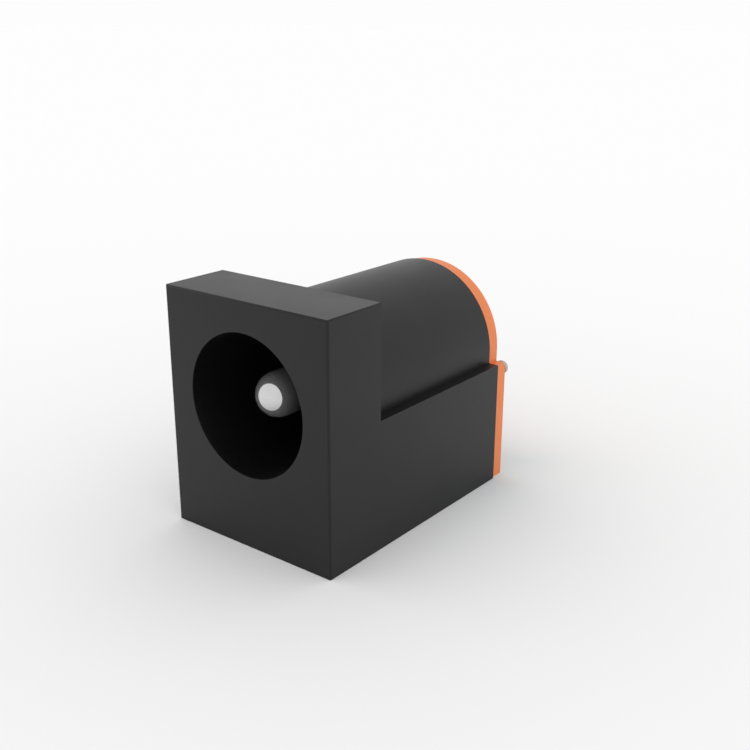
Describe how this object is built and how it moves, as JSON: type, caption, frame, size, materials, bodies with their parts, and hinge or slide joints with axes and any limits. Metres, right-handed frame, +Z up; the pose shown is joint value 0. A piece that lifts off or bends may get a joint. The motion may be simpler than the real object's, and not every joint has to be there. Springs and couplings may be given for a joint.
{
  "type": "dc barrel jack",
  "caption": "Board-mounted socket for a round low-voltage power plug, with a centre pin, sleeve spring and switch contact in a moulded housing.",
  "frame": {"origin": "middle of the bounding box's underside, on the board plane", "axes": "+X to the right seen from the mouth, the mouth faces -Y, +Z up from the board"},
  "size_m": [0.009, 0.0144, 0.011],
  "materials": {
    "housing_black": "satin black moulded plastic",
    "cover_orange": "matt orange moulded plate",
    "pin_nickel": "bright nickel plate over turned brass",
    "strip_tinned": "satin tin plate over spring brass strip",
    "rivet_nickel": "satin nickel plate"
  },
  "bodies": {
    "root": {"housing": "housing_black", "rear_cover": "cover_orange", "centre_pin": "pin_nickel", "centre_terminal": "strip_tinned", "sleeve_spring": "strip_tinned", "switch_contact": "strip_tinned", "cover_rivet_left": "rivet_nickel", "cover_rivet_right": "rivet_nickel"}
  },
  "joints": []
}
